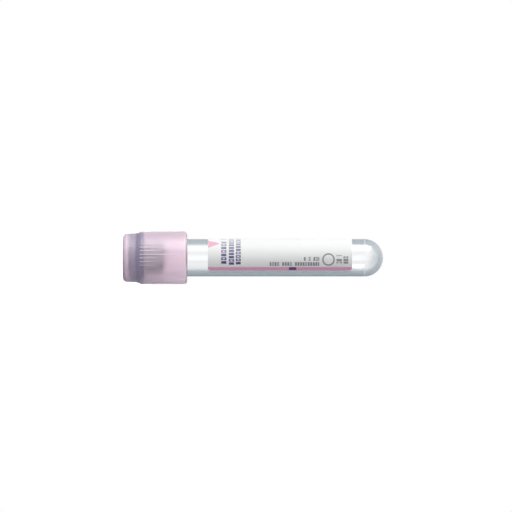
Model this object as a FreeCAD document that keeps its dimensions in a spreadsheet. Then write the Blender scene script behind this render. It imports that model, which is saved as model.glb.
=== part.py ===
"""Blood collection tube: a clear tube, its paper label, a rubber stopper and the moulded shield over it.

The tube stands on its closure, mouth down and round end up. The origin is the middle of the closure's
flat face, +Z runs along the tube's axis, and lengths are in millimetres.
"""
import FreeCAD, Part
import os

import Sketcher

SIZES = (
    # the tube
    ("tube_length", 75.0, "rim to the tip of the round end"),
    ("tube_radius", 5.9, "outside of the tube"),
    ("tube_wall", 1.0, "wall at the mouth"),
    ("seal_length", 8.0, "straight stretch of bore that the plug seals in"),
    ("bore_draft", 0.1, "how much narrower the bore's radius is at the round end"),
    ("bottom_wall", 1.3, "wall at the tip of the round end"),
    ("rim_edge", 0.25, "rounding of the rim's two edges"),
    # the stopper
    ("rim_cover", 1.2, "how far the flange reaches out past the tube's outside"),
    ("flange_height", 2.7, "thickness of the flange"),
    ("flange_edge", 0.35, "rounding of the flange's edges"),
    ("head_inset", 0.9, "how much smaller the head's radius is than the flange's"),
    ("head_height", 2.4, "head above the flange"),
    ("head_edge", 0.8, "rounding of the head's edge"),
    ("plug_length", 6.0, "flange to the tip of the plug"),
    ("plug_clearance", 0.05, "gap between plug and bore"),
    ("seat_gap", 0.04, "gap between flange and rim"),
    ("plug_lead", 1.3, "length of the plug's tapered tip"),
    ("plug_taper", 0.95, "how much the tip's radius falls over that length"),
    ("plug_wall", 2.45, "rubber round the recess in the plug"),
    ("recess_depth", 3.0, "recess in the plug's tip"),
    ("recess_edge", 0.9, "rounding of the recess's floor"),
    ("well_margin", 0.8, "how much smaller the needle well's radius is than the port's"),
    ("well_depth", 1.0, "depth of the needle well in the head"),
    ("well_slope", 1.2, "how far the well's sides lean in"),
    # the shield
    ("top_wall", 1.6, "lip round the needle port"),
    ("port_lip", 1.8, "how far that lip reaches in over the stopper's head"),
    ("port_edge", 0.3, "bevel of the port's outer edge"),
    ("pocket_clearance", 0.05, "gap between the stopper and the pocket round it"),
    ("ring_wall", 0.4, "ring's wall, past the flange's pocket"),
    ("ring_draft", 0.15, "how much wider the ring is where it meets the shoulder"),
    ("ring_edge", 1.2, "rounding of the ring's outer edge"),
    ("shoulder_height", 1.6, "length of the cone from ring to skirt"),
    ("shoulder_blend", 0.8, "rounding where the shoulder starts and ends"),
    ("skirt_wall", 1.0, "skirt's wall where the shoulder ends"),
    ("skirt_flare", 0.125, "how much wider the skirt is at its mouth"),
    ("skirt_length", 13.4, "flange to the skirt's mouth"),
    ("mouth_edge", 0.9, "rounding outside the skirt's mouth"),
    ("mouth_lead", 0.1, "rounding inside the skirt's mouth"),
    ("bead_reach", 0.3, "how far the bead under the flange reaches in"),
    ("bead_land", 0.25, "straight part of that bead"),
    ("bead_height", 0.65, "bead with its sloping side"),
    # the ribs of the finger grip
    ("groups_of_ribs", 4, "evenly round the skirt"),
    ("ribs_in_a_group", 7, "an odd number, so that one rib is the middle one"),
    ("rib_pitch", 8.0, "degrees from one rib to the next"),
    ("rib_radius", 0.25, "radius of a rib's round back"),
    ("rib_height", 0.15, "how far a rib stands out where the shoulder ends"),
    ("rib_start", 0.4, "from a rib's blunt end to where the shoulder ends"),
    ("rib_short", 6.0, "shoulder to where a group's outer two ribs sink into the skirt"),
    ("rib_medium", 7.1, "the same for the ribs between those and the middle one"),
    ("rib_long", 12.5, "the same for the middle rib"),
    ("rib_run_in", 1.0, "length of a rib inside the skirt's wall, past where it sinks in"),
    ("grip_turn", -6.6, "direction of one group's middle rib, from +X"),
    # the label
    ("label_length", 45.2, "along the tube"),
    ("label_width", 28.0, "round the tube, measured on its inner face"),
    ("label_thickness", 0.1, "paper and glue"),
    ("label_corner", 1.0, "radius of the label's corners"),
    ("label_from_rim", 19.9, "tube's rim to the label's nearer end"),
    ("label_turn", -4.2, "direction of the gap between the label's long edges, from +X"),
)

doc = FreeCAD.newDocument("blood_collection_tube")


def make_sheet():
    """The driving sizes, one row each: name, value and what it measures."""
    sheet = doc.addObject("Spreadsheet::Sheet", "sizes")
    for row, (alias, size, note) in enumerate(SIZES, start=1):
        sheet.set(f"A{row}", alias)
        sheet.set(f"B{row}", str(size))
        sheet.set(f"C{row}", note)
        sheet.setAlias(f"B{row}", alias)
    doc.recompute()
    return sheet


sheet = make_sheet()

# Sizes that follow from the sheet, as expressions.
BORE = "(sizes.tube_radius - sizes.tube_wall)"
DOME_BORE = f"({BORE} - sizes.bore_draft)"
FLANGE = "(sizes.tube_radius + sizes.rim_cover)"
HEAD = f"({FLANGE} - sizes.head_inset)"
PLUG = f"({BORE} - sizes.plug_clearance)"
FLANGE_POCKET = f"({FLANGE} + sizes.pocket_clearance)"
HEAD_POCKET = f"({HEAD} + sizes.pocket_clearance)"
PORT = f"({HEAD} - sizes.port_lip)"
RING = f"({FLANGE_POCKET} + sizes.ring_wall)"
RING_END = f"({RING} + sizes.ring_draft)"
SKIRT = f"({FLANGE_POCKET} + sizes.skirt_wall)"
SKIRT_END = f"({SKIRT} + sizes.skirt_flare)"

# Heights above the closure's face.
LEDGE = "(sizes.top_wall + sizes.head_height)"
FLANGE_END = f"({LEDGE} + sizes.flange_height)"
SHOULDER_END = f"({LEDGE} + sizes.shoulder_height)"
MOUTH = f"({FLANGE_END} + sizes.skirt_length)"
RIM = f"({FLANGE_END} + sizes.seat_gap)"


def number(expression):
    """The present value of an expression, in millimetres or degrees."""
    result = sheet.evalExpression(expression)
    return float(getattr(result, "Value", result))


def make_body(label):
    body = doc.addObject("PartDesign::Body", label)
    body.Label = label
    return body


def origin_part(body, role):
    """One of the body's own origin planes or axes."""
    return next(part for part in body.Origin.OriginFeatures if part.Role == role)


def new_sketch(body, name, plane):
    sketch = body.newObject("Sketcher::SketchObject", name)
    sketch.AttachmentSupport = [(origin_part(body, plane), "")]
    sketch.MapMode = "FlatFace"
    return sketch


def hold(sketch, kind, geometry, point, expression):
    """Ties one coordinate of a point to an expression, or puts the point on the axis if it is 0."""
    if expression == "0":
        axis = -2 if kind == "DistanceX" else -1
        sketch.addConstraint(Sketcher.Constraint("PointOnObject", geometry, point, axis))
        return
    size = number(expression)
    index = sketch.addConstraint(Sketcher.Constraint(kind, -1, 1, geometry, point, size))
    sketch.renameConstraint(index, f"{kind}_{geometry}_{point}")
    sketch.setExpression(f"Constraints.{kind}_{geometry}_{point}", expression)


def dome(off_axis):
    """A quarter circle about the axis, from a point off the axis up to the axis."""
    circle = Part.Circle(FreeCAD.Vector(0, off_axis.y, 0), FreeCAD.Vector(0, 0, 1), off_axis.x)
    return Part.ArcOfCircle(circle, 0, 1.5707963)


def half_section(body, name, corners):
    """A closed outline beside the Z axis. A corner is a radius and a height, and "dome" after them makes
    the edge to the next corner a quarter circle about the axis."""
    sketch = new_sketch(body, name, "XZ_Plane")
    spots = [FreeCAD.Vector(number(corner[0]), number(corner[1]), 0) for corner in corners]
    domes = ["dome" in corner for corner in corners]
    ends = []
    for index, here in enumerate(spots):
        there = spots[(index + 1) % len(spots)]
        if domes[index]:
            sketch.addGeometry(dome(here if here.x else there))
        else:
            sketch.addGeometry(Part.LineSegment(here, there))
        ends.append((1, 2) if here.x or not domes[index] else (2, 1))
    for index, (radius, height, *_) in enumerate(corners):
        first, last = ends[index]
        after = (index + 1) % len(corners)
        sketch.addConstraint(Sketcher.Constraint("Coincident", index, last, after, ends[after][0]))
        hold(sketch, "DistanceX", index, first, radius)
        on_a_dome = radius == "0" and (domes[index] or domes[index - 1])
        if not on_a_dome:
            hold(sketch, "DistanceY", index, first, height)
        if domes[index]:
            level = height if spots[index].x else corners[after][1]
            hold(sketch, "DistanceX", index, 3, "0")
            hold(sketch, "DistanceY", index, 3, level)
    return sketch


def turn_about_axis(body, angle):
    """Stands the body at a named angle about the tube's axis."""
    upward = FreeCAD.Vector(0, 0, 1)
    body.Placement = FreeCAD.Placement(FreeCAD.Vector(), FreeCAD.Rotation(upward, 1))
    body.setExpression("Placement.Rotation.Angle", angle)


def revolve(body, name, corners):
    feature = body.newObject("PartDesign::Revolution", name)
    sketch = half_section(body, f"{name}_section", corners)
    feature.Profile = sketch
    feature.ReferenceAxis = (sketch, ["V_Axis"])
    feature.Angle = 360
    sketch.Visibility = False
    body.Tip = feature
    doc.recompute()
    return feature


def circles(shape, places):
    """The names of the round edges that lie at each radius and height."""
    names = []
    for radius, height in places:
        wanted = number(radius), number(height)
        for index, edge in enumerate(shape.Edges, start=1):
            if edge.Degenerated or not isinstance(edge.Curve, Part.Circle):
                continue
            found = edge.Curve.Radius, edge.Curve.Center.z
            if max(abs(a - b) for a, b in zip(found, wanted)) < 1e-4:
                names.append(f"Edge{index}")
    return names


def soften(body, name, places, size, kind="Fillet"):
    """Rounds, or with kind Chamfer bevels, the edges at these radii and heights."""
    base = body.Tip
    feature = body.newObject(f"PartDesign::{kind}", name)
    feature.Base = (base, circles(base.Shape, places))
    feature.setExpression("Radius" if kind == "Fillet" else "Size", size)
    body.Tip = feature
    doc.recompute()
    return feature


def make_tube():
    """Clear moulded tube, its rim at the body's own zero."""
    tube = make_body("tube")
    tangent = "(sizes.tube_length - sizes.tube_radius)"
    inner_tip = "(sizes.tube_length - sizes.bottom_wall)"
    revolve(
        tube,
        "tube_wall_and_round_end",
        (
            (BORE, "0"),
            ("sizes.tube_radius", "0"),
            ("sizes.tube_radius", tangent, "dome"),
            ("0", "sizes.tube_length"),
            ("0", inner_tip, "dome"),
            (DOME_BORE, f"({inner_tip} - {DOME_BORE})"),
            (BORE, "sizes.seal_length"),
        ),
    )
    soften(tube, "rim_rounding", ((BORE, "0"), ("sizes.tube_radius", "0")), "sizes.rim_edge")
    tube.setExpression("Placement.Base.z", RIM)
    return tube


def make_stopper():
    """Rubber stopper: head with a needle well, flange for the rim, hollow plug for the bore."""
    stopper = make_body("stopper")
    flange_end = "(sizes.head_height + sizes.flange_height)"
    tip = f"({flange_end} + sizes.plug_length)"
    well = f"({PORT} - sizes.well_margin)"
    plug_tip = f"({PLUG} - sizes.plug_taper)"
    recess = f"({PLUG} - sizes.plug_wall)"
    recess_floor = f"({tip} - sizes.recess_depth)"
    revolve(
        stopper,
        "stopper_rubber",
        (
            (well, "0"),
            (HEAD, "0"),
            (HEAD, "sizes.head_height"),
            (FLANGE, "sizes.head_height"),
            (FLANGE, flange_end),
            (PLUG, flange_end),
            (PLUG, f"({tip} - sizes.plug_lead)"),
            (plug_tip, tip),
            (recess, tip),
            (recess, recess_floor),
            ("0", recess_floor),
            ("0", "sizes.well_depth"),
            (f"({well} - sizes.well_slope)", "sizes.well_depth"),
        ),
    )
    soften(stopper, "head_rounding", ((HEAD, "0"),), "sizes.head_edge")
    flange_edges = ((FLANGE, "sizes.head_height"), (FLANGE, flange_end))
    soften(stopper, "flange_rounding", flange_edges, "sizes.flange_edge")
    soften(stopper, "recess_rounding", ((recess, recess_floor),), "sizes.recess_edge")
    stopper.setExpression("Placement.Base.z", "sizes.top_wall")
    return stopper


def add_rib(shield, name, turn, reach):
    """A round-backed rib that starts on the shoulder, and sinks into the flaring skirt at its reach."""
    surface = f"({SKIRT} + sizes.skirt_flare * {reach} / ({MOUTH} - {SHOULDER_END}))"
    crest = f"({SKIRT} + sizes.rib_height)"
    lean = f"atan(({crest} - {surface}) / ({reach} + sizes.rib_start))"
    rib = shield.newObject("PartDesign::AdditiveCylinder", name)
    rib.AttachmentSupport = [(origin_part(shield, "XY_Plane"), "")]
    rib.MapMode = "FlatFace"
    rib.Refine = False
    rib.setExpression("Radius", "sizes.rib_radius")
    rib.setExpression("Height", f"({reach} + sizes.rib_start + sizes.rib_run_in) / cos({lean})")
    start = f"vector({crest} - sizes.rib_radius / cos({lean}); 0; {SHOULDER_END} - sizes.rib_start)"
    rib.setExpression(
        "AttachmentOffset",
        f"placement(vector(0; 0; 0); rotation(vector(0; 0; 1); {turn}))"
        f" * placement({start}; rotation(vector(0; 1; 0); -{lean}))",
    )
    return rib


def repeat_round(body, name, feature):
    """The same rib in every group."""
    pattern = body.newObject("PartDesign::PolarPattern", name)
    pattern.Originals = [feature]
    pattern.Axis = (origin_part(body, "Z_Axis"), [""])
    pattern.Angle = 360
    pattern.setExpression("Occurrences", "sizes.groups_of_ribs")
    pattern.Refine = False
    body.Tip = pattern
    doc.recompute()


def add_grip(shield):
    """Groups of ribs for the fingers. The middle rib of a group is the longest."""
    half = int(number("sizes.ribs_in_a_group")) // 2
    for place in range(-half, half + 1):
        reach = "sizes.rib_medium"
        if place == 0:
            reach = "sizes.rib_long"
        if abs(place) == half:
            reach = "sizes.rib_short"
        name = f"rib_{place + half + 1}"
        rib = add_rib(shield, name, f"({place} * sizes.rib_pitch)", reach)
        repeat_round(shield, f"{name}_in_every_group", rib)


def make_shield():
    """Moulded shield: lip round the needle port, pocket and bead that hold the stopper, ribbed skirt."""
    shield = make_body("shield")
    bead = f"({FLANGE_POCKET} - sizes.bead_reach)"
    revolve(
        shield,
        "shield_wall",
        (
            (PORT, "0"),
            (RING, "0"),
            (RING_END, LEDGE),
            (SKIRT, SHOULDER_END),
            (SKIRT_END, MOUTH),
            (FLANGE_POCKET, MOUTH),
            (FLANGE_POCKET, f"({FLANGE_END} + sizes.bead_height)"),
            (bead, f"({FLANGE_END} + sizes.bead_land)"),
            (bead, FLANGE_END),
            (FLANGE_POCKET, FLANGE_END),
            (FLANGE_POCKET, LEDGE),
            (HEAD_POCKET, LEDGE),
            (HEAD_POCKET, "sizes.top_wall"),
            (PORT, "sizes.top_wall"),
        ),
    )
    soften(shield, "port_bevel", ((PORT, "0"),), "sizes.port_edge", "Chamfer")
    soften(shield, "ring_rounding", ((RING, "0"),), "sizes.ring_edge")
    shoulder = ((RING_END, LEDGE), (SKIRT, SHOULDER_END))
    soften(shield, "shoulder_rounding", shoulder, "sizes.shoulder_blend")
    soften(shield, "mouth_rounding", ((SKIRT_END, MOUTH),), "sizes.mouth_edge")
    soften(shield, "mouth_lead_in", ((FLANGE_POCKET, MOUTH),), "sizes.mouth_lead")
    add_grip(shield)
    turn_about_axis(shield, "sizes.grip_turn")
    return shield


def make_label():
    """Paper label wrapped round the tube, with a clear gap between its two long edges."""
    label = make_body("label")
    outer = "(sizes.tube_radius + sizes.label_thickness)"
    half_gap = "(180 - sizes.label_width / sizes.tube_radius * 90 / pi)"
    sketch = new_sketch(label, "label_section", "XY_Plane")
    middle = FreeCAD.Vector(0, 0, 0)
    upward = FreeCAD.Vector(0, 0, 1)
    gap = number(half_gap) * 3.14159265 / 180
    for radius in ("sizes.tube_radius", outer):
        circle = Part.Circle(middle, upward, number(radius))
        arc = sketch.addGeometry(Part.ArcOfCircle(circle, gap, 2 * 3.14159265 - gap))
        sketch.addConstraint(Sketcher.Constraint("Coincident", arc, 3, -1, 1))
        index = sketch.addConstraint(Sketcher.Constraint("Radius", arc, number(radius)))
        sketch.renameConstraint(index, f"radius_{arc}")
        sketch.setExpression(f"Constraints.radius_{arc}", radius)
        hold(sketch, "DistanceY", arc, 1, f"({radius} * sin({half_gap}))")
        hold(sketch, "DistanceY", arc, 2, f"(-{radius} * sin({half_gap}))")
    for point in (1, 2):
        inner_end = sketch.getPoint(0, point)
        outer_end = sketch.getPoint(1, point)
        edge = sketch.addGeometry(Part.LineSegment(inner_end, outer_end))
        sketch.addConstraint(Sketcher.Constraint("Coincident", edge, 1, 0, point))
        sketch.addConstraint(Sketcher.Constraint("Coincident", edge, 2, 1, point))
    paper = label.newObject("PartDesign::Pad", "label_paper")
    paper.Profile = sketch
    paper.setExpression("Length", "sizes.label_length")
    sketch.Visibility = False
    doc.recompute()
    thickness = number("sizes.label_thickness")
    short = [
        f"Edge{index}"
        for index, edge in enumerate(paper.Shape.Edges, start=1)
        if abs(edge.Length - thickness) < 1e-4
    ]
    corners = label.newObject("PartDesign::Fillet", "label_corners")
    corners.Base = (paper, short)
    corners.setExpression("Radius", "sizes.label_corner")
    label.Tip = corners
    turn_about_axis(label, "sizes.label_turn")
    label.setExpression("Placement.Base.z", f"{RIM} + sizes.label_from_rim")
    doc.recompute()
    return label


def check():
    """Stops the build if any object failed or any piece has no sound solid."""
    for thing in doc.Objects:
        bad = {"Invalid", "Error"} & set(thing.State)
        if bad:
            raise RuntimeError(f"{thing.Label} is {', '.join(bad)}")
    for piece in pieces:
        shape = piece.Shape
        if shape.isNull() or not shape.isValid() or len(shape.Solids) != 1:
            raise RuntimeError(f"{piece.Label} is not one sound solid")


def export():
    os.makedirs("parts", exist_ok=True)
    for piece in pieces:
        piece.Shape.exportStep(f"parts/{piece.Label}.step")
        box = piece.Shape.BoundBox
        print(f"{piece.Label}: {piece.Shape.Volume:.1f} mm3, z {box.ZMin:.2f} to {box.ZMax:.2f} mm")


pieces = [make_tube(), make_stopper(), make_shield(), make_label()]
doc.recompute()
check()
export()
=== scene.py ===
"""Blood collection tube, dressed: clear moulded tube, printed paper label, rubber stopper, pink shield.

Lengths are in metres, in the frame of the solids: +Z runs from the closure's face to the round end.
"""
import math
from functools import partial

import bmesh
import bpy
from mathutils import Matrix, Vector


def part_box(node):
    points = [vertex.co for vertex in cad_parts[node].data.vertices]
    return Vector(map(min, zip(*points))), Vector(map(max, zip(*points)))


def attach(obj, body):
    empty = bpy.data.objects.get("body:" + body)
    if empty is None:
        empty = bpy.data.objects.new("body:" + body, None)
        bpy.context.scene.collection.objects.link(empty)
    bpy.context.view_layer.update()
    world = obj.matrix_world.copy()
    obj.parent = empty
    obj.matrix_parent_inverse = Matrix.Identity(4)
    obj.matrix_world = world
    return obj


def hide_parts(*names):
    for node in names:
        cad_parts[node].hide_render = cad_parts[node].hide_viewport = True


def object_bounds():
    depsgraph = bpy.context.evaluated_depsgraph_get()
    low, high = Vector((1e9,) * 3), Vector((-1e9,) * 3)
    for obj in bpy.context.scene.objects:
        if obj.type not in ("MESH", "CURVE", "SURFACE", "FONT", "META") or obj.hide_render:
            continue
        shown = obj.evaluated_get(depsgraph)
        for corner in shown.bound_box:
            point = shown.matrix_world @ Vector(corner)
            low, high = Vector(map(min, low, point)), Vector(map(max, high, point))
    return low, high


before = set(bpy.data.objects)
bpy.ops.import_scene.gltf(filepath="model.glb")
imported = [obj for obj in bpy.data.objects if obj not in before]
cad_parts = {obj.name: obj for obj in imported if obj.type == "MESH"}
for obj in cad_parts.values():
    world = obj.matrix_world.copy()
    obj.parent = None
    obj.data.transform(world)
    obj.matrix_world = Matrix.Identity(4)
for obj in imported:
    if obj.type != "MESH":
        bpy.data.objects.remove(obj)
CAD_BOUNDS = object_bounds()

MM = 0.001
TURN = 2 * math.pi

# Places that the frame gives.
TUBE_LOW, TUBE_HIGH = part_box("tube")
STOPPER_LOW, STOPPER_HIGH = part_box("stopper")
LABEL_LOW, LABEL_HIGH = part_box("label")
TUBE_RADIUS = TUBE_HIGH.y
RIM = TUBE_LOW.z
TIP = TUBE_HIGH.z
ROUND_START = TIP - TUBE_RADIUS
STOPPER_TOP = STOPPER_LOW.z
PLUG_TIP = STOPPER_HIGH.z
FLANGE_RADIUS = STOPPER_HIGH.y
SKIRT_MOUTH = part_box("shield")[1].z
LABEL_RADIUS = LABEL_HIGH.y
LABEL_LENGTH = LABEL_HIGH.z - LABEL_LOW.z
MIDDLE = (CAD_BOUNDS[0] + CAD_BOUNDS[1]) / 2

# The tube, inside its box.
TUBE_WALL = 1.0 * MM
BOTTOM_WALL = 1.3 * MM
BORE_DRAFT = 0.1 * MM
SEAL_LENGTH = 8.0 * MM
RIM_ROUNDING = 0.25 * MM
MOULD_LINE = 0.12 * MM
MOULD_LINE_DEPTH = 0.05 * MM

# The stopper: its head ends at a ledge, where its flange starts, and its plug sits in the bore.
LEDGE = STOPPER_TOP + 2.4 * MM
FLANGE_END = LEDGE + 2.7 * MM
HEAD_RADIUS = FLANGE_RADIUS - 0.9 * MM
PLUG_RADIUS = TUBE_RADIUS - TUBE_WALL - 0.05 * MM

# The shield. Its wall outside is set from a pocket with a gap round the rubber, as in the solids. The
# pocket itself is pressed a little into the rubber here, so that no air shows between the two.
POCKET_GAP = 0.05 * MM
PRESSED = 0.02 * MM
PORT_RADIUS = HEAD_RADIUS - 1.8 * MM
RING_RADIUS = FLANGE_RADIUS + POCKET_GAP + 0.4 * MM
SHOULDER_END = LEDGE + 1.6 * MM
SKIRT_START = FLANGE_RADIUS + POCKET_GAP + 1.0 * MM
SKIRT_FLARE = 0.125 * MM
BEAD_END = FLANGE_END + 0.65 * MM

# The finger grip: groups of ribs, evenly round the shield, and the attribute for how milky they look.
GRIP_GROUPS = 4
RIBS_EACH_SIDE = 3
RIB_PITCH = math.radians(8)
GRIP_TURN = math.radians(-6.6)
GRIP_MILK = "rib"

# The label: its size laid flat, the way that the middle of its gap faces, and its UV map.
LABEL_WIDTH = 28.0 * MM
LABEL_CORNER = 1.0 * MM
LABEL_TURN = math.radians(-4.2)
LABEL_MAP = "label_mm"

# How finely the meshes are made.
SHARP_EDGE = math.radians(40)
TUBE_SIDES = 160
STOPPER_SIDES = 128
WALL_ROWS = 8
ROUND_END_STEPS = 40
BORE_END_STEPS = 36
SMALL_ROUNDING = 0.5 * MM
SMALL_ROUNDING_STEPS = 3
LARGE_ROUNDING_STEPS = 8
SUPPORT_SHARE = 0.15
ON_AXIS = 1e-9


# ---------------------------------------------------------------- meshes


def placed(name, data):
    """A new object in the scene."""
    thing = bpy.data.objects.new(name, data)
    bpy.context.scene.collection.objects.link(thing)
    return thing


def piece_of(name, made):
    """Turns a bmesh into a piece that is smooth between its sharp edges."""
    bmesh.ops.recalc_face_normals(made, faces=made.faces)
    mesh = bpy.data.meshes.new(name)
    made.to_mesh(mesh)
    made.free()
    mesh.shade_smooth()
    mesh.set_sharp_from_angle(angle=SHARP_EDGE)
    return placed(name, mesh)


def around(radius, angle, height):
    """The point at an angle round the Z axis."""
    return radius * math.cos(angle), radius * math.sin(angle), height


def even(count):
    """Angles all round, in equal steps."""
    return [TURN * step / count for step in range(count)]


def rounded(corners):
    """Points of a closed outline of (radius, height, rounding) corners, with its corners rounded.

    A support point beside each end of a rounding keeps the smooth shading off the straight stretches.
    """
    points = []
    for index, (radius, height, rounding) in enumerate(corners):
        here = Vector((radius, height))
        if not rounding:
            points.append(here)
            continue
        before = (Vector(corners[index - 1][:2]) - here).normalized()
        after = (Vector(corners[(index + 1) % len(corners)][:2]) - here).normalized()
        half = before.angle(after) / 2
        reach = rounding / math.tan(half)
        middle = here + (before + after).normalized() * rounding / math.sin(half)
        start = here + before * reach - middle
        sweep = start.angle_signed(here + after * reach - middle)
        steps = LARGE_ROUNDING_STEPS if rounding > SMALL_ROUNDING else SMALL_ROUNDING_STEPS
        support = reach + SUPPORT_SHARE * reach
        points.append(here + before * support)
        for step in range(steps + 1):
            points.append(middle + Matrix.Rotation(-sweep * step / steps, 2) @ start)
        points.append(here + after * support)
    return points


def quarter(radius, centre, steps):
    """Points of a quarter circle about the axis, from the side of a round end to its tip."""
    angles = [math.pi / 2 * step / steps for step in range(steps + 1)]
    points = [Vector((radius * math.cos(a), centre + radius * math.sin(a))) for a in angles]
    points[-1].x = 0
    return points


def lathe(name, points, angles):
    """Turns a closed outline of (radius, height) points about the Z axis."""
    made = bmesh.new()
    rings = []
    for radius, height in points:
        if radius < ON_AXIS:
            rings.append([made.verts.new((0, 0, height))] * len(angles))
        else:
            rings.append([made.verts.new(around(radius, angle, height)) for angle in angles])
    for ring, above in zip(rings, rings[1:] + rings[:1]):
        for step in range(len(angles)):
            after = (step + 1) % len(angles)
            corners = list(dict.fromkeys((ring[step], ring[after], above[after], above[step])))
            if len(corners) > 2:
                made.faces.new(corners)
    return piece_of(name, made)


def tube_piece():
    """Tube wall with a round end, and the fine line that the mould leaves where the round end starts."""
    bore = TUBE_RADIUS - TUBE_WALL
    end_bore = bore - BORE_DRAFT
    corners = [
        (bore, RIM, RIM_ROUNDING),
        (TUBE_RADIUS, RIM, RIM_ROUNDING),
        (TUBE_RADIUS, TIP, 0),
        (bore, TIP, 0),
    ]
    # The last two corners only show the rim's roundings which way the wall goes.
    outline = rounded(corners)[:-2]
    rows = [RIM + (ROUND_START - RIM) * row / WALL_ROWS for row in range(1, WALL_ROWS)]
    outline += [Vector((TUBE_RADIUS, height)) for height in rows]
    outline.append(Vector((TUBE_RADIUS, ROUND_START - 1.5 * MOULD_LINE)))
    outline.append(Vector((TUBE_RADIUS, ROUND_START - MOULD_LINE)))
    outline.append(Vector((TUBE_RADIUS - MOULD_LINE_DEPTH, ROUND_START)))
    outline += quarter(TUBE_RADIUS, ROUND_START, ROUND_END_STEPS)[1:]
    outline += quarter(end_bore, TIP - BOTTOM_WALL - end_bore, BORE_END_STEPS)[::-1]
    outline += [Vector((bore, RIM + SEAL_LENGTH)), Vector((bore, RIM + 2 * RIM_ROUNDING))]
    return lathe("tube_moulding", outline, even(TUBE_SIDES))


def stopper_piece():
    """Rubber stopper: needle well, head, flange and hollow plug with a tapered tip."""
    well = PORT_RADIUS - 0.8 * MM
    well_floor = STOPPER_TOP + 1.0 * MM
    taper_start = PLUG_TIP - 1.3 * MM
    tip = PLUG_RADIUS - 0.95 * MM
    recess = PLUG_RADIUS - 2.45 * MM
    recess_floor = PLUG_TIP - 3.0 * MM
    corners = [
        (0, well_floor, 0),
        (well - 1.2 * MM, well_floor, 0.3 * MM),
        (well, STOPPER_TOP, 0.2 * MM),
        (HEAD_RADIUS, STOPPER_TOP, 0.8 * MM),
        (HEAD_RADIUS, LEDGE, 0.1 * MM),
        (FLANGE_RADIUS, LEDGE, 0.35 * MM),
        (FLANGE_RADIUS, FLANGE_END, 0.35 * MM),
        (PLUG_RADIUS, FLANGE_END, 0.1 * MM),
        (PLUG_RADIUS, taper_start, 0.3 * MM),
        (tip, PLUG_TIP, 0.3 * MM),
        (recess, PLUG_TIP, 0.2 * MM),
        (recess, recess_floor, 0.9 * MM),
        (0, recess_floor, 0),
    ]
    return lathe("stopper_moulding", rounded(corners), even(STOPPER_SIDES))


def shield_wall():
    """The shield before its grip: lip, ring, shoulder and skirt outside, pockets and bead inside."""
    pocket = FLANGE_RADIUS - PRESSED
    head_pocket = HEAD_RADIUS - PRESSED
    bead = pocket - 0.3 * MM
    bead_back = FLANGE_END + 0.25 * MM
    corners = [
        (PORT_RADIUS, 0, 0.2 * MM),
        (RING_RADIUS, 0, 1.2 * MM),
        (RING_RADIUS + 0.15 * MM, LEDGE, 0.8 * MM),
        (SKIRT_START, SHOULDER_END, 0.8 * MM),
        (SKIRT_START + SKIRT_FLARE, SKIRT_MOUTH, 0.9 * MM),
        (pocket, SKIRT_MOUTH, 0.1 * MM),
        (pocket, BEAD_END, 0.1 * MM),
        (bead, bead_back, 0.05 * MM),
        (bead, FLANGE_END, 0.03 * MM),
        (pocket, FLANGE_END, 0),
        (pocket, LEDGE, 0.15 * MM),
        (head_pocket, LEDGE, 0.1 * MM),
        (head_pocket, STOPPER_TOP, 0.3 * MM),
        (PORT_RADIUS, STOPPER_TOP, 0.1 * MM),
    ]
    return lathe("shield_moulding", with_rows(rounded(corners)), grip_angles())


def with_rows(points):
    """Splits the outline's outer side, finely on the shoulder, to give the ribs vertices to rise from."""
    fine_end = SHOULDER_END + 0.2 * MM
    fine, coarse = 0.1 * MM, 0.8 * MM
    split = []
    for here, there in zip(points, points[1:] + points[:1]):
        split.append(here)
        if min(here.x, there.x) > RING_RADIUS and there.y > here.y:
            step = fine if there.y < fine_end else coarse
            rows = max(1, round((there - here).length / step))
            split += [here.lerp(there, row / rows) for row in range(1, rows)]
    return split


def grip_angles():
    """Angles all round, in fine steps over the groups of ribs and coarse ones between them."""
    steps_a_rib = 16
    steps_a_gap = 16
    fine = RIB_PITCH / steps_a_rib
    reach = (RIBS_EACH_SIDE + 0.5) * RIB_PITCH
    gap = TURN / GRIP_GROUPS - 2 * reach
    steps = [-reach + fine * step for step in range(round(2 * reach / fine))]
    steps += [reach + gap * step / steps_a_gap for step in range(steps_a_gap)]
    groups = [GRIP_TURN + TURN * group / GRIP_GROUPS for group in range(GRIP_GROUPS)]
    return [group + step for group in groups for step in steps]


# ---------------------------------------------------------------- nodes that both kinds of tree share


def feed(tree, socket, value):
    """Links a socket to another node's output, or gives it a plain number or colour."""
    if isinstance(value, bpy.types.NodeSocket):
        tree.links.new(value, socket)
    elif socket.type == "RGBA":
        socket.default_value = (*value, 1)
    else:
        socket.default_value = value


def math_of(tree, operation, *values):
    """What one Math node makes of numbers and other nodes' outputs."""
    node = tree.nodes.new("ShaderNodeMath")
    node.operation = operation
    for socket, value in zip(node.inputs, values):
        feed(tree, socket, value)
    return node.outputs[0]


def parts_of(tree, vector):
    """The X, Y and Z of a vector."""
    node = tree.nodes.new("ShaderNodeSeparateXYZ")
    tree.links.new(vector, node.inputs[0])
    return node.outputs


# ---------------------------------------------------------------- the grip's ribs


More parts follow.
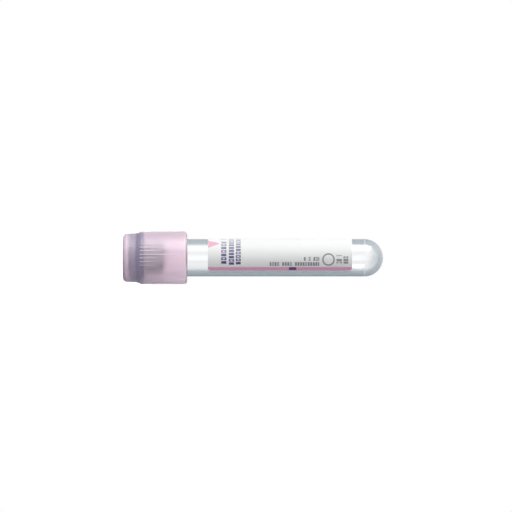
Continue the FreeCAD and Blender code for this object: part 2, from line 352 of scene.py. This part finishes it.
def grip_tree(sizes):
    """Raises groups of round-backed ribs, which start on the shoulder and sink into the flaring skirt."""
    tree = bpy.data.node_groups.new("finger_grip", "GeometryNodeTree")
    tree.interface.new_socket("Wall", in_out="INPUT", socket_type="NodeSocketGeometry")
    for name, value in sizes.items():
        kind = "NodeSocketInt" if isinstance(value, int) else "NodeSocketFloat"
        tree.interface.new_socket(name, in_out="INPUT", socket_type=kind)
    tree.interface.new_socket("Finish", in_out="INPUT", socket_type="NodeSocketMaterial")
    tree.interface.new_socket("Wall", in_out="OUTPUT", socket_type="NodeSocketGeometry")
    given = tree.nodes.new("NodeGroupInput").outputs
    reckon = partial(math_of, tree)

    x, y, z = parts_of(tree, tree.nodes.new("GeometryNodeInputPosition").outputs[0])
    radius = reckon("SQRT", reckon("ADD", reckon("MULTIPLY", x, x), reckon("MULTIPLY", y, y)))
    off_middle, rib, off_rib = nearest_rib(reckon, given, reckon("ARCTAN2", y, x))
    reach = reach_of(reckon, given, rib)
    along = reckon("SUBTRACT", z, given["Rib start"])
    over = reckon("MULTIPLY", reckon("GREATER_THAN", along, 0), reckon("LESS_THAN", along, reach))
    over = reckon("MULTIPLY", over, reckon("GREATER_THAN", radius, given["Inner limit"]))
    aside = reckon("MULTIPLY", off_rib, radius)
    raised = reckon("MULTIPLY", back_over_wall(reckon, given, along, aside, radius, reach), over)

    kept = tree.nodes.new("GeometryNodeStoreNamedAttribute")
    kept.inputs["Name"].default_value = GRIP_MILK
    tree.links.new(grip_milk(reckon, given, off_middle, over, z, raised), kept.inputs["Value"])
    outward = tree.nodes.new("ShaderNodeCombineXYZ")
    for socket, part in zip(outward.inputs, (x, y)):
        tree.links.new(reckon("MULTIPLY", reckon("DIVIDE", part, radius), raised), socket)
    move = tree.nodes.new("GeometryNodeSetPosition")
    tree.links.new(outward.outputs[0], move.inputs["Offset"])
    real = tree.nodes.new("GeometryNodeRealizeInstances")
    paint = tree.nodes.new("GeometryNodeSetMaterial")
    tree.links.new(given["Finish"], paint.inputs["Material"])
    wall = given["Wall"]
    for node in (kept, move, real, paint):
        tree.links.new(wall, node.inputs["Geometry"])
        wall = node.outputs["Geometry"]
    tree.links.new(wall, tree.nodes.new("NodeGroupOutput").inputs["Wall"])
    return tree


def nearest_rib(reckon, given, angle):
    """The angle off the nearest group's middle, the number of its nearest rib, and the angle off that."""
    apart = reckon("DIVIDE", TURN, given["Groups"])
    share = reckon("DIVIDE", reckon("SUBTRACT", angle, given["Turn"]), apart)
    off_middle = reckon("MULTIPLY", reckon("SUBTRACT", share, reckon("ROUND", share)), apart)
    rib = reckon("ROUND", reckon("DIVIDE", off_middle, given["Pitch"]))
    rib = reckon("MINIMUM", rib, given["Ribs each side"])
    rib = reckon("MAXIMUM", rib, reckon("MULTIPLY", given["Ribs each side"], -1))
    off_rib = reckon("SUBTRACT", off_middle, reckon("MULTIPLY", rib, given["Pitch"]))
    return off_middle, rib, off_rib


def reach_of(reckon, given, rib):
    """How far along the shield a rib reaches: the middle one furthest, and the outermost ones least."""

    def either(test, yes, no):
        otherwise = reckon("MULTIPLY", reckon("SUBTRACT", 1, test), no)
        return reckon("ADD", reckon("MULTIPLY", test, yes), otherwise)

    number = reckon("ABSOLUTE", rib)
    is_middle = reckon("LESS_THAN", number, 0.5)
    is_outermost = reckon("GREATER_THAN", number, reckon("SUBTRACT", given["Ribs each side"], 0.5))
    reach = either(is_outermost, given["Short reach"], given["Medium reach"])
    return either(is_middle, given["Long reach"], reach)


def back_over_wall(reckon, given, along, aside, radius, reach):
    """How high a rib's round back stands over the wall: it sinks evenly into the skirt, over its reach."""
    fall = reckon("DIVIDE", given["Rib height"], reach)
    fall = reckon("SUBTRACT", fall, given["Skirt slope"])
    crest = reckon("SUBTRACT", given["Rib height"], reckon("MULTIPLY", along, fall))
    crest = reckon("ADD", crest, given["Skirt start"])
    square = reckon("MULTIPLY", given["Rib radius"], given["Rib radius"])
    chord = reckon("SUBTRACT", square, reckon("MULTIPLY", aside, aside))
    sagitta = reckon("SUBTRACT", reckon("SQRT", reckon("MAXIMUM", chord, 0)), given["Rib radius"])
    raised = reckon("SUBTRACT", reckon("ADD", crest, sagitta), radius)
    raised = reckon("MAXIMUM", raised, 0)
    return reckon("MULTIPLY", raised, reckon("GREATER_THAN", chord, 0))


def grip_milk(reckon, given, off_middle, over, z, raised):
    """How milky the grip is: a little between the ribs, and most where they stand up."""
    everywhere, on_ribs = 0.22, 0.2
    standing_share = 0.1
    half_group = reckon("MULTIPLY", reckon("ADD", given["Ribs each side"], 0.5), given["Pitch"])
    milk = reckon("MULTIPLY", reckon("LESS_THAN", reckon("ABSOLUTE", off_middle), half_group), over)
    milk = reckon("MULTIPLY", milk, reckon("GREATER_THAN", z, given["Thin wall end"]))
    full = reckon("MULTIPLY", given["Rib height"], standing_share)
    standing = reckon("MINIMUM", reckon("DIVIDE", raised, full), 1)
    return reckon("ADD", reckon("MULTIPLY", milk, everywhere), reckon("MULTIPLY", standing, on_ribs))


def shield_piece(outside, inside):
    """The shield with its grip: one plain mesh, with one finish outside and another inside."""
    sizes = {
        "Groups": GRIP_GROUPS,
        "Ribs each side": RIBS_EACH_SIDE,
        "Pitch": RIB_PITCH,
        "Turn": GRIP_TURN,
        "Rib radius": 0.25 * MM,
        "Rib height": 0.15 * MM,
        "Rib start": SHOULDER_END - 0.4 * MM,
        "Skirt start": SKIRT_START,
        "Skirt slope": SKIRT_FLARE / (SKIRT_MOUTH - SHOULDER_END),
        "Short reach": 6.0 * MM,
        "Medium reach": 7.1 * MM,
        "Long reach": 12.5 * MM,
        "Inner limit": RING_RADIUS + 0.16 * MM,
        "Thin wall end": FLANGE_END + 0.1 * MM,
    }
    shield = shield_wall()
    grip = shield.modifiers.new("grip", "NODES")
    grip.node_group = grip_tree(sizes)
    values = {**sizes, "Finish": outside}
    for socket in grip.node_group.interface.items_tree:
        if socket.in_out == "INPUT" and socket.name in values:
            grip[socket.identifier] = values[socket.name]
    evaluated = shield.evaluated_get(bpy.context.evaluated_depsgraph_get())
    shaped = bpy.data.meshes.new_from_object(evaluated)
    shield.modifiers.remove(grip)
    shield.data = shaped
    shaped.materials.append(inside)
    for face in shaped.polygons:
        if looks_inward(face):
            face.material_index = 1
    return shield


def looks_inward(face):
    """Whether a face of the shield lies in its port, its pockets or its bore, and not on either end."""
    outward = Vector((face.center.x, face.center.y, 0)).normalized()
    on_the_lip = face.center.z < 0.2 * MM
    at_the_mouth = face.center.z > SKIRT_MOUTH - 0.5 * MM
    least_outward = 0.1
    return face.normal.dot(outward) < least_outward and not on_the_lip and not at_the_mouth


# ---------------------------------------------------------------- the label


def label_columns():
    """Places across the flat label, from one long edge to the other, close together at the corners."""
    corner_steps = 8
    middle_steps = 112
    straight = LABEL_WIDTH - 2 * LABEL_CORNER
    turns = [math.pi / 2 * step / corner_steps for step in range(corner_steps)]
    corner = [LABEL_CORNER * (1 - math.cos(turn)) for turn in turns]
    middle = [LABEL_CORNER + straight * step / middle_steps for step in range(middle_steps + 1)]
    return corner + middle + [LABEL_WIDTH - across for across in reversed(corner)]


def label_piece():
    """Paper wrapped round the tube, with rounded corners.

    The UV map of its outer face is in millimetres: round the tube from one long edge, and along it from
    the end nearer the closure. Its inner face and its edges lie off the print.
    """
    glue = 0.01 * MM
    off_the_print = (-9, -9)
    rows = 24
    start = LABEL_TURN - (TURN - LABEL_WIDTH / TUBE_RADIUS) / 2
    made = bmesh.new()
    sheet = made.loops.layers.uv.new(LABEL_MAP)
    places = {}
    layers = []
    for radius in (TUBE_RADIUS + glue, LABEL_RADIUS):
        grid = []
        for across in label_columns():
            edge = LABEL_CORNER - min(across, LABEL_WIDTH - across, LABEL_CORNER)
            cut = LABEL_CORNER - math.sqrt(max(LABEL_CORNER**2 - edge**2, 0))
            angle = start - across / TUBE_RADIUS
            column = []
            for row in range(rows + 1):
                along = cut + (LABEL_LENGTH - 2 * cut) * row / rows
                corner = made.verts.new(around(radius, angle, LABEL_LOW.z + along))
                places[corner] = (across / MM, along / MM) if radius == LABEL_RADIUS else off_the_print
                column.append(corner)
            grid.append(column)
        layers.append(grid)
    join_layers(made, *layers)
    for face in made.faces:
        for loop in face.loops:
            loop[sheet].uv = places[loop.vert]
    return piece_of("label_paper", made)


def join_layers(made, inside, outside):
    """Faces on both grids of corners, and along their four edges."""
    layers = (inside, outside)
    turn = ((0, 0), (1, 0), (1, 1), (0, 1))
    other_turn = ((0, 0), (0, 1), (1, 1), (1, 0))
    last_column = len(inside) - 1
    last_row = len(inside[0]) - 1
    for column in range(last_column):
        for row in range(last_row):
            made.faces.new([outside[column + i][row + j] for i, j in turn])
            made.faces.new([inside[column + i][row + j] for i, j in other_turn])
        for row in (0, last_row):
            made.faces.new([layers[i][column + j][row] for i, j in other_turn])
    for column in (0, last_column):
        for row in range(last_row):
            made.faces.new([layers[i][column][row + j] for i, j in other_turn])


# ---------------------------------------------------------------- nodes for materials


def material(name):
    """A new material with one Principled shader: returns the material, its tree and the shader."""
    made = bpy.data.materials.new(name)
    made.use_nodes = True
    return made, made.node_tree, made.node_tree.nodes["Principled BSDF"]


def settle(tree, shader, values):
    """Feeds the shader's inputs by their names."""
    for name, value in values.items():
        feed(tree, shader.inputs[name], value)


def over_piece(tree):
    """Places on the piece, in its own coordinates."""
    return tree.nodes.new("ShaderNodeTexCoord").outputs["Object"]


def noise(tree, scale):
    """Noise over the piece: its value, from 0 to 1."""
    pattern = tree.nodes.new("ShaderNodeTexNoise")
    pattern.inputs["Scale"].default_value = scale
    pattern.inputs["Detail"].default_value = 3.0
    tree.links.new(over_piece(tree), pattern.inputs["Vector"])
    return pattern.outputs["Fac"]


def spread(tree, value, first, last, start=0, end=1):
    """Maps a value from start..end evenly to first..last, and holds it there beyond them."""
    node = tree.nodes.new("ShaderNodeMapRange")
    node.inputs["From Min"].default_value = start
    node.inputs["From Max"].default_value = end
    node.inputs["To Min"].default_value = first
    node.inputs["To Max"].default_value = last
    tree.links.new(value, node.inputs["Value"])
    return node.outputs["Result"]


def between(tree, factor, one, other):
    """A colour between two, by a factor."""
    node = tree.nodes.new("ShaderNodeMix")
    node.data_type = "RGBA"
    tree.links.new(factor, node.inputs["Factor"])
    colours = [socket for socket in node.inputs if socket.type == "RGBA"]
    for socket, colour in zip(colours, (one, other)):
        feed(tree, socket, colour)
    return next(socket for socket in node.outputs if socket.type == "RGBA")


def ramp(tree, value, stops):
    """Colours that blend evenly between (place, colour) stops, by a value from 0 to 1."""
    node = tree.nodes.new("ShaderNodeValToRGB")
    tree.links.new(value, node.inputs["Fac"])
    elements = node.color_ramp.elements
    for place, _ in stops[2:]:
        elements.new(place)
    for element, (place, colour) in zip(elements, stops):
        element.position = place
        element.color = (*colour, 1)
    return node.outputs["Color"]


def bump(tree, shader, height, distance):
    """Raises the shader's surface a little, in its shading alone."""
    node = tree.nodes.new("ShaderNodeBump")
    node.inputs["Distance"].default_value = distance
    tree.links.new(height, node.inputs["Height"])
    tree.links.new(node.outputs["Normal"], shader.inputs["Normal"])


def let_light_through(tree, shader, colour, share):
    """Mixes a share of translucency into the shader, which passes on the light that falls on its back."""
    glow = tree.nodes.new("ShaderNodeBsdfTranslucent")
    feed(tree, glow.inputs["Color"], colour)
    both = tree.nodes.new("ShaderNodeMixShader")
    both.inputs["Fac"].default_value = share
    tree.links.new(shader.outputs[0], both.inputs[1])
    tree.links.new(glow.outputs[0], both.inputs[2])
    tree.links.new(both.outputs[0], tree.nodes["Material Output"].inputs["Surface"])


def seen_by(tree, *kinds):
    """1 for what rays of these kinds see, and 0 for the other kinds."""
    rays = tree.nodes.new("ShaderNodeLightPath").outputs
    total = rays[kinds[0]]
    for kind in kinds[1:]:
        total = math_of(tree, "MAXIMUM", total, rays[kind])
    return total


# ---------------------------------------------------------------- finishes


def clear_plastic():
    """Clear plastic with painted shade: its colour greys toward its edges, in place of the dark that
    surroundings give a clear tube there, and less so at the round end and on the mould line.

    The painted shade shows where a look first meets the tube, and what lies behind that stays clear.
    """
    made, tree, shader = material("clear_tube_plastic")
    edge = tree.nodes.new("ShaderNodeLayerWeight")
    edge.inputs["Blend"].default_value = 0.5
    # Painted shade: a light grey where the tube faces the eye, deepening toward its edges as the facing
    # rises.
    face_on_shade = (0.80, 0.81, 0.835)
    stops = (
        (0.20, face_on_shade),
        (0.30, (0.26, 0.335, 0.375)),
        (0.48, (0.22, 0.295, 0.335)),
        (0.75, (0.09, 0.125, 0.15)),
    )
    grey = ramp(tree, edge.outputs["Facing"], stops)
    height = parts_of(tree, over_piece(tree))["Z"]
    # Less painted edge shade toward the round end, and least on the mould line.
    at_mould_line = math_of(tree, "COMPARE", height, ROUND_START, 0.15 * MM)
    before_tip = spread(tree, height, 1, 0.6, start=ROUND_START, end=TIP)
    shown = math_of(tree, "MULTIPLY", before_tip, spread(tree, at_mould_line, 1, 0.2))
    grey = between(tree, shown, face_on_shade, grey)
    # The painted shade colours only what a look first meets; other rays find the tube clear white.
    finish = {
        "Base Color": between(tree, seen_by(tree, "Is Camera Ray"), (1.0, 1.0, 1.0), grey),
        "Roughness": spread(tree, noise(tree, 900), 0.0, 0.05),
        "IOR": 1.57,
        "Transmission Weight": 1.0,
    }
    settle(tree, shader, finish)
    return made


def stopper_rubber():
    """Dark blue rubber with a fine grain."""
    made, tree, shader = material("stopper_rubber")
    finish = {
        "Base Color": between(tree, noise(tree, 2500), (0.035, 0.045, 0.20), (0.05, 0.06, 0.25)),
        "Roughness": spread(tree, noise(tree, 1800), 0.36, 0.44),
        "Specular IOR Level": 0.3,
    }
    settle(tree, shader, finish)
    bump(tree, shader, noise(tree, 6000), 0.01 * MM)
    return made


def pink_plastic(name):
    """Clear pink plastic with a satin face, which blurs what is behind it: material, tree and shader."""
    made, tree, shader = material(name)
    finish = {
        "Base Color": between(tree, noise(tree, 250), (0.985, 0.86, 0.925), (0.995, 0.88, 0.945)),
        "Roughness": spread(tree, noise(tree, 1500), 0.30, 0.36),
        "IOR": 1.5,
        "Transmission Weight": 1.0,
    }
    settle(tree, shader, finish)
    bump(tree, shader, noise(tree, 5000), 0.008 * MM)
    return made, tree, shader


def inner_pink_plastic():
    """The inside of the shield, which is clear pink all over."""
    return pink_plastic("pink_shield_inside")[0]


def outer_pink_plastic():
    """The outside of the shield: the plastic looks milkier where the moulding is thick, and on its ribs."""
    made, tree, shader = pink_plastic("pink_shield_outside")
    lip, ring, thin, bead, grip, wall = 0.85, 0.38, 0.24, 0.4, 0.32, 0.03
    levels = (
        (0, lip),
        (STOPPER_TOP - 0.5 * MM, lip),
        (STOPPER_TOP + 0.4 * MM, ring),
        (LEDGE - 0.2 * MM, ring),
        (LEDGE, thin),
        (FLANGE_END, thin),
        (FLANGE_END + 0.1 * MM, bead),
        (BEAD_END, bead),
        (BEAD_END + 0.15 * MM, grip),
        (PLUG_TIP - 1.0 * MM, grip),
        (PLUG_TIP + 1.5 * MM, wall),
    )
    height = spread(tree, parts_of(tree, over_piece(tree))["Z"], 0, 1, end=SKIRT_MOUTH)
    milk = ramp(tree, height, [(place / SKIRT_MOUTH, (level,) * 3) for place, level in levels])
    rib = tree.nodes.new("ShaderNodeAttribute")
    rib.attribute_name = GRIP_MILK
    milk = between(tree, rib.outputs["Fac"], milk, (0.9, 0.9, 0.9))
    clear = shader.inputs["Base Color"].links[0].from_socket
    finish = {
        "Base Color": between(tree, milk, clear, (0.97, 0.78, 0.93)),
        "Transmission Weight": spread(tree, milk, 1, 0),
        "Coat Weight": 1.0,
        "Coat Roughness": 0.5,
        "Coat IOR": 1.85,
    }
    settle(tree, shader, finish)
    let_light_through(tree, shader, (0.97, 0.66, 0.88), share=0.12)
    return made


# ---------------------------------------------------------------- the label's paper and print


def field(tree, place, low, high):
    """1 inside a rectangle from its low to its high (across, along) corner, 0 outside."""
    sides = [
        math_of(tree, "COMPARE", value, (start + end) / 2, (end - start) / 2)
        for value, start, end in zip(place, low, high)
    ]
    return math_of(tree, "MULTIPLY", *sides)


def bars(tree, place, low, high, run, pitch, seed):
    """A rectangle cut into short bars along its run (0 across, 1 along): some are missing, some hollow."""
    half_bar, half_hollow = 0.38, 0.16
    missing_share, filled_share = 0.14, 0.6
    line_share = 0.28
    step = math_of(tree, "DIVIDE", place[run], pitch)
    within = math_of(tree, "FRACT", step)
    chance = tree.nodes.new("ShaderNodeTexWhiteNoise")
    chance.noise_dimensions = "1D"
    tree.links.new(math_of(tree, "ADD", math_of(tree, "FLOOR", step), seed), chance.inputs["W"])
    kept = math_of(tree, "GREATER_THAN", chance.outputs["Value"], missing_share)
    bar = math_of(tree, "MULTIPLY", math_of(tree, "COMPARE", within, 0.5, half_bar), kept)
    inset = [0, 0]
    inset[1 - run] = line_share * (high[1 - run] - low[1 - run])
    hollow_low = [edge + reach for edge, reach in zip(low, inset)]
    hollow_high = [edge - reach for edge, reach in zip(high, inset)]
    hollow = field(tree, place, hollow_low, hollow_high)
    hollow = math_of(tree, "MULTIPLY", hollow, math_of(tree, "COMPARE", within, 0.5, half_hollow))
    may_be = math_of(tree, "GREATER_THAN", chance.outputs["Value"], filled_share)
    hollow = math_of(tree, "MULTIPLY", hollow, may_be)
    filled = math_of(tree, "MULTIPLY", field(tree, place, low, high), bar)
    return math_of(tree, "MULTIPLY", filled, math_of(tree, "SUBTRACT", 1, hollow))


def arrowhead(tree, place, middle, half_width, start, end):
    """1 inside an arrowhead that points along the label, 0 outside."""
    across, along = place
    half = spread(tree, along, half_width, 0, start=start, end=end)
    aside = math_of(tree, "ABSOLUTE", math_of(tree, "SUBTRACT", across, middle))
    inside = math_of(tree, "LESS_THAN", aside, half)
    return math_of(tree, "MULTIPLY", inside, math_of(tree, "GREATER_THAN", along, start))


def circle(tree, place, centre, radius, half_line):
    """1 on the line of a circle, 0 beside it."""
    squares = [
        math_of(tree, "POWER", math_of(tree, "SUBTRACT", value, middle), 2)
        for value, middle in zip(place, centre)
    ]
    reach = math_of(tree, "SQRT", math_of(tree, "ADD", *squares))
    return math_of(tree, "COMPARE", reach, radius, half_line)


def printed_paper():
    """White paper with a pink stripe along one long edge, and plain marks where print would be.

    The marks' places are in millimetres, (across, along), on the label's UV map. Words are rows of bars,
    given by two corners, a run, a pitch and a seed.
    """
    made, tree, shader = material("printed_paper")
    sheet = tree.nodes.new("ShaderNodeUVMap")
    sheet.uv_map = LABEL_MAP
    place = parts_of(tree, sheet.outputs[0])[:2]
    across, along = 0, 1
    mark = partial(field, tree, place)
    words = partial(bars, tree, place)
    first_line, apart, thickness = 4, 8, 0.15
    over_line = math_of(tree, "MODULO", math_of(tree, "SUBTRACT", place[along], first_line), apart)
    on_line = math_of(tree, "LESS_THAN", over_line, thickness)
    ruled_lines = math_of(tree, "MULTIPLY", mark((16.5, 11.9), (26, 36.2)), on_line)
    caption_middle, caption_half = 0.9, 0.35
    at_caption = math_of(tree, "COMPARE", over_line, caption_middle, caption_half)
    captions = words((16.6, 12), (20.2, 38), across, 0.6, 31)
    captions = math_of(tree, "MULTIPLY", captions, at_caption)
    rose, pink = (0.93, 0.55, 0.68), (0.95, 0.49, 0.70)
    plum, grey = (0.24, 0.09, 0.28), (0.34, 0.34, 0.38)
    fading = spread(tree, place[across], 0, 0.6, start=4, end=11)
    violet = between(tree, fading, (0.14, 0.11, 0.30), (0.86, 0.86, 0.88))
    prints = (
        (arrowhead(tree, place, middle=9.17, half_width=1.63, start=0.1, end=3.9), rose),
        (mark((0, 0), (1.33, 46)), pink),
        (mark((0.2, 25.4), (1.33, 27.7)), plum),
        (words((2.1, 4.2), (12.1, 5.8), across, 1.15, 3), violet),
        (words((2.1, 6.6), (12.1, 8.2), across, 1.0, 40), violet),
        (words((2.1, 8.8), (12.1, 10.3), across, 1.05, 81), violet),
        (words((1.75, 19.4), (2.95, 34.9), along, 0.8, 5), grey),
        (words((3.35, 29.2), (4.55, 34.9), along, 0.75, 60), grey),
        (circle(tree, place, centre=(3.75, 37.8), radius=1.75, half_line=0.22), grey),
        (words((2.6, 40.3), (5.1, 42.0), across, 0.8, 7), grey),
        (words((2.5, 42.5), (4.9, 44.0), across, 0.8, 20), grey),
        (ruled_lines, grey),
        (captions, grey),
    )
    colour = between(tree, noise(tree, 3000), (0.97, 0.97, 0.96), (0.99, 0.99, 0.98))
    for where, ink in prints:
        colour = between(tree, where, colour, ink)
    finish = {
        "Base Color": colour,
        "Roughness": spread(tree, noise(tree, 2000), 0.5, 0.6),
        "Specular IOR Level": 0.2,
    }
    settle(tree, shader, finish)
    bump(tree, shader, noise(tree, 9000), 0.004 * MM)
    let_light_through(tree, shader, colour, share=0.2)
    return made


# ---------------------------------------------------------------- the dressed part


def dress():
    """Builds each piece, gives it its finish and puts it in its solid's place."""
    looks = (
        (tube_piece(), "tube", "tube", "clear_plastic", clear_plastic()),
        (label_piece(), "label", "tube", "label_paper", printed_paper()),
        (stopper_piece(), "stopper", "closure", "stopper_rubber", stopper_rubber()),
    )
    for piece, node, body, slot, finish in looks:
        piece.data.materials.append(finish)
        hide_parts(node)
        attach(piece, body)
    shield = shield_piece(outer_pink_plastic(), inner_pink_plastic())
    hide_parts("shield")
    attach(shield, "closure")


# ---------------------------------------------------------------- the studio


def floor():
    """A pale floor that looks white all round, and keeps the part's soft shadow beside it.

    Its glow shows to the eye, directly and through clear pieces, and lights nothing.
    """
    bpy.ops.mesh.primitive_circle_add(vertices=96, radius=0.4, fill_type="NGON")
    ground = bpy.context.object
    ground.name = "floor"
    made = bpy.data.materials.new("pale_floor")
    made.use_nodes = True
    tree = made.node_tree
    tree.nodes.clear()
    matt = tree.nodes.new("ShaderNodeBsdfDiffuse")
    matt.inputs["Color"].default_value = (0.8, 0.8, 0.8, 1)
    reach = tree.nodes.new("ShaderNodeVectorMath")
    reach.operation = "LENGTH"
    tree.links.new(over_piece(tree), reach.inputs[0])
    level = spread(tree, reach.outputs["Value"], 0.7, 1, start=0.05, end=0.3)
    seen = seen_by(tree, "Is Camera Ray", "Is Transmission Ray")
    glow = tree.nodes.new("ShaderNodeEmission")
    tree.links.new(math_of(tree, "MULTIPLY", level, seen), glow.inputs["Strength"])
    both = tree.nodes.new("ShaderNodeAddShader")
    tree.links.new(matt.outputs[0], both.inputs[0])
    tree.links.new(glow.outputs[0], both.inputs[1])
    out = tree.nodes.new("ShaderNodeOutputMaterial")
    tree.links.new(both.outputs[0], out.inputs["Surface"])
    ground.data.materials.append(made)


def outlook(tree):
    """The way that a ray leaves into the room."""
    return tree.nodes.new("ShaderNodeTexCoord").outputs["Generated"]


def nearness(tree, way):
    """How nearly a ray leaves one way: the dot product of the two."""
    node = tree.nodes.new("ShaderNodeVectorMath")
    node.operation = "DOT_PRODUCT"
    tree.links.new(outlook(tree), node.inputs[0])
    node.inputs[1].default_value = way
    return node.outputs["Value"]


def room_through_plastic(tree):
    """What clear pieces let through: white right behind them, and grey round that.

    It is lighter toward -X and darker toward +X, so that the plastic shows its form.
    """
    white, grey, dim = (1.0, 1.0, 1.0), (0.75, 0.78, 0.80), (0.95, 0.96, 0.97)
    degrees = ((9, white), (16, grey), (62, grey), (90, dim))
    away = math_of(tree, "ARCCOSINE", nearness(tree, Vector((-0.09, 1, 0)).normalized()))
    stops = [(angle / 180, colour) for angle, colour in degrees]
    through = ramp(tree, spread(tree, away, 0, 1, end=math.pi), stops)
    light, dark = (0.97, 0.97, 0.98), (0.45, 0.50, 0.56)
    x = parts_of(tree, outlook(tree))["X"]
    through = between(tree, spread(tree, x, 0.6, 0, start=-0.4, end=0), through, light)
    return between(tree, spread(tree, x, 0, 0.22, start=0.1, end=0.5), through, dark)


def room_in_gloss(tree):
    """What glossy faces mirror: a dim room, light behind the part, with a bright spot before it.

    Both lie toward -X, and an even grey lies toward +X.
    """
    dim, light, bright, grey = (0.15, 0.16, 0.18), (1.0, 0.99, 1.01), (3.2, 3.2, 3.3), (0.5, 0.5, 0.52)
    behind = nearness(tree, Vector((-0.86, 0.5, 0)))
    before = nearness(tree, Vector((-0.90, -0.43, 0)))
    x = parts_of(tree, outlook(tree))["X"]
    mirror = between(tree, spread(tree, behind, 0, 1, end=0.6), dim, light)
    mirror = between(tree, spread(tree, before, 0, 1, start=0.8, end=0.97), mirror, bright)
    return between(tree, spread(tree, x, 0, 1, start=0.3, end=0.8), mirror, grey)


def surroundings():
    """White to a direct look, an even grey for the light on matt faces, and a room for the plastic."""
    world = bpy.data.worlds.new("studio")
    bpy.context.scene.world = world
    world.use_nodes = True
    tree = world.node_tree
    is_through = seen_by(tree, "Is Transmission Ray")
    is_seen = seen_by(tree, "Is Camera Ray", "Is Transmission Ray", "Is Glossy Ray")
    room = between(tree, is_through, room_in_gloss(tree), room_through_plastic(tree))
    room = between(tree, is_seen, (0.36, 0.37, 0.38), room)
    colour = between(tree, seen_by(tree, "Is Camera Ray"), room, (1.0, 1.0, 1.0))
    tree.links.new(colour, tree.nodes["Background"].inputs["Color"])


def softbox(name, toward, distance, size, level):
    """A square lamp that lights a surface facing it, at the part, to the given level."""
    lamp = bpy.data.lights.new(name, "AREA")
    lamp.shape = "SQUARE"
    lamp.size = size
    lamp.energy = level * (math.pi * distance) ** 2
    holder = placed(name, lamp)
    holder.location = MIDDLE + toward.normalized() * distance
    holder.rotation_mode = "QUATERNION"
    holder.rotation_quaternion = toward.to_track_quat("Z", "Y")


def lights():
    """A key lamp on the -X side, and a wider, weak one in front that softens the key's shade."""
    softbox("key", toward=Vector((-0.97, -0.36, 0.35)), distance=0.8, size=0.5, level=0.72)
    softbox("front", toward=Vector((-0.1, -1.0, 0.3)), distance=1.0, size=0.8, level=0.16)


def camera():
    """Level with the tube's middle and rolled, so that the tube lies across the picture, closure left."""
    view_width = 0.161
    distance = 1.5
    up_by = 0.55 * MM
    right_by = 0.86 * MM
    data = bpy.data.cameras.new("camera")
    data.sensor_width = 36
    data.lens = data.sensor_width * distance / view_width
    data.clip_end = 20
    right, up = Vector((0, 0, 1)), Vector((-1, 0, 0))
    aim = Matrix((right, up, right.cross(up))).transposed()
    eye = placed("camera", data)
    eye.matrix_world = Matrix.Translation((-up_by, -distance, MIDDLE.z + right_by)) @ aim.to_4x4()
    bpy.context.scene.camera = eye


dress()
floor()
surroundings()
lights()
camera()
bpy.context.scene.view_settings.view_transform = "Standard"
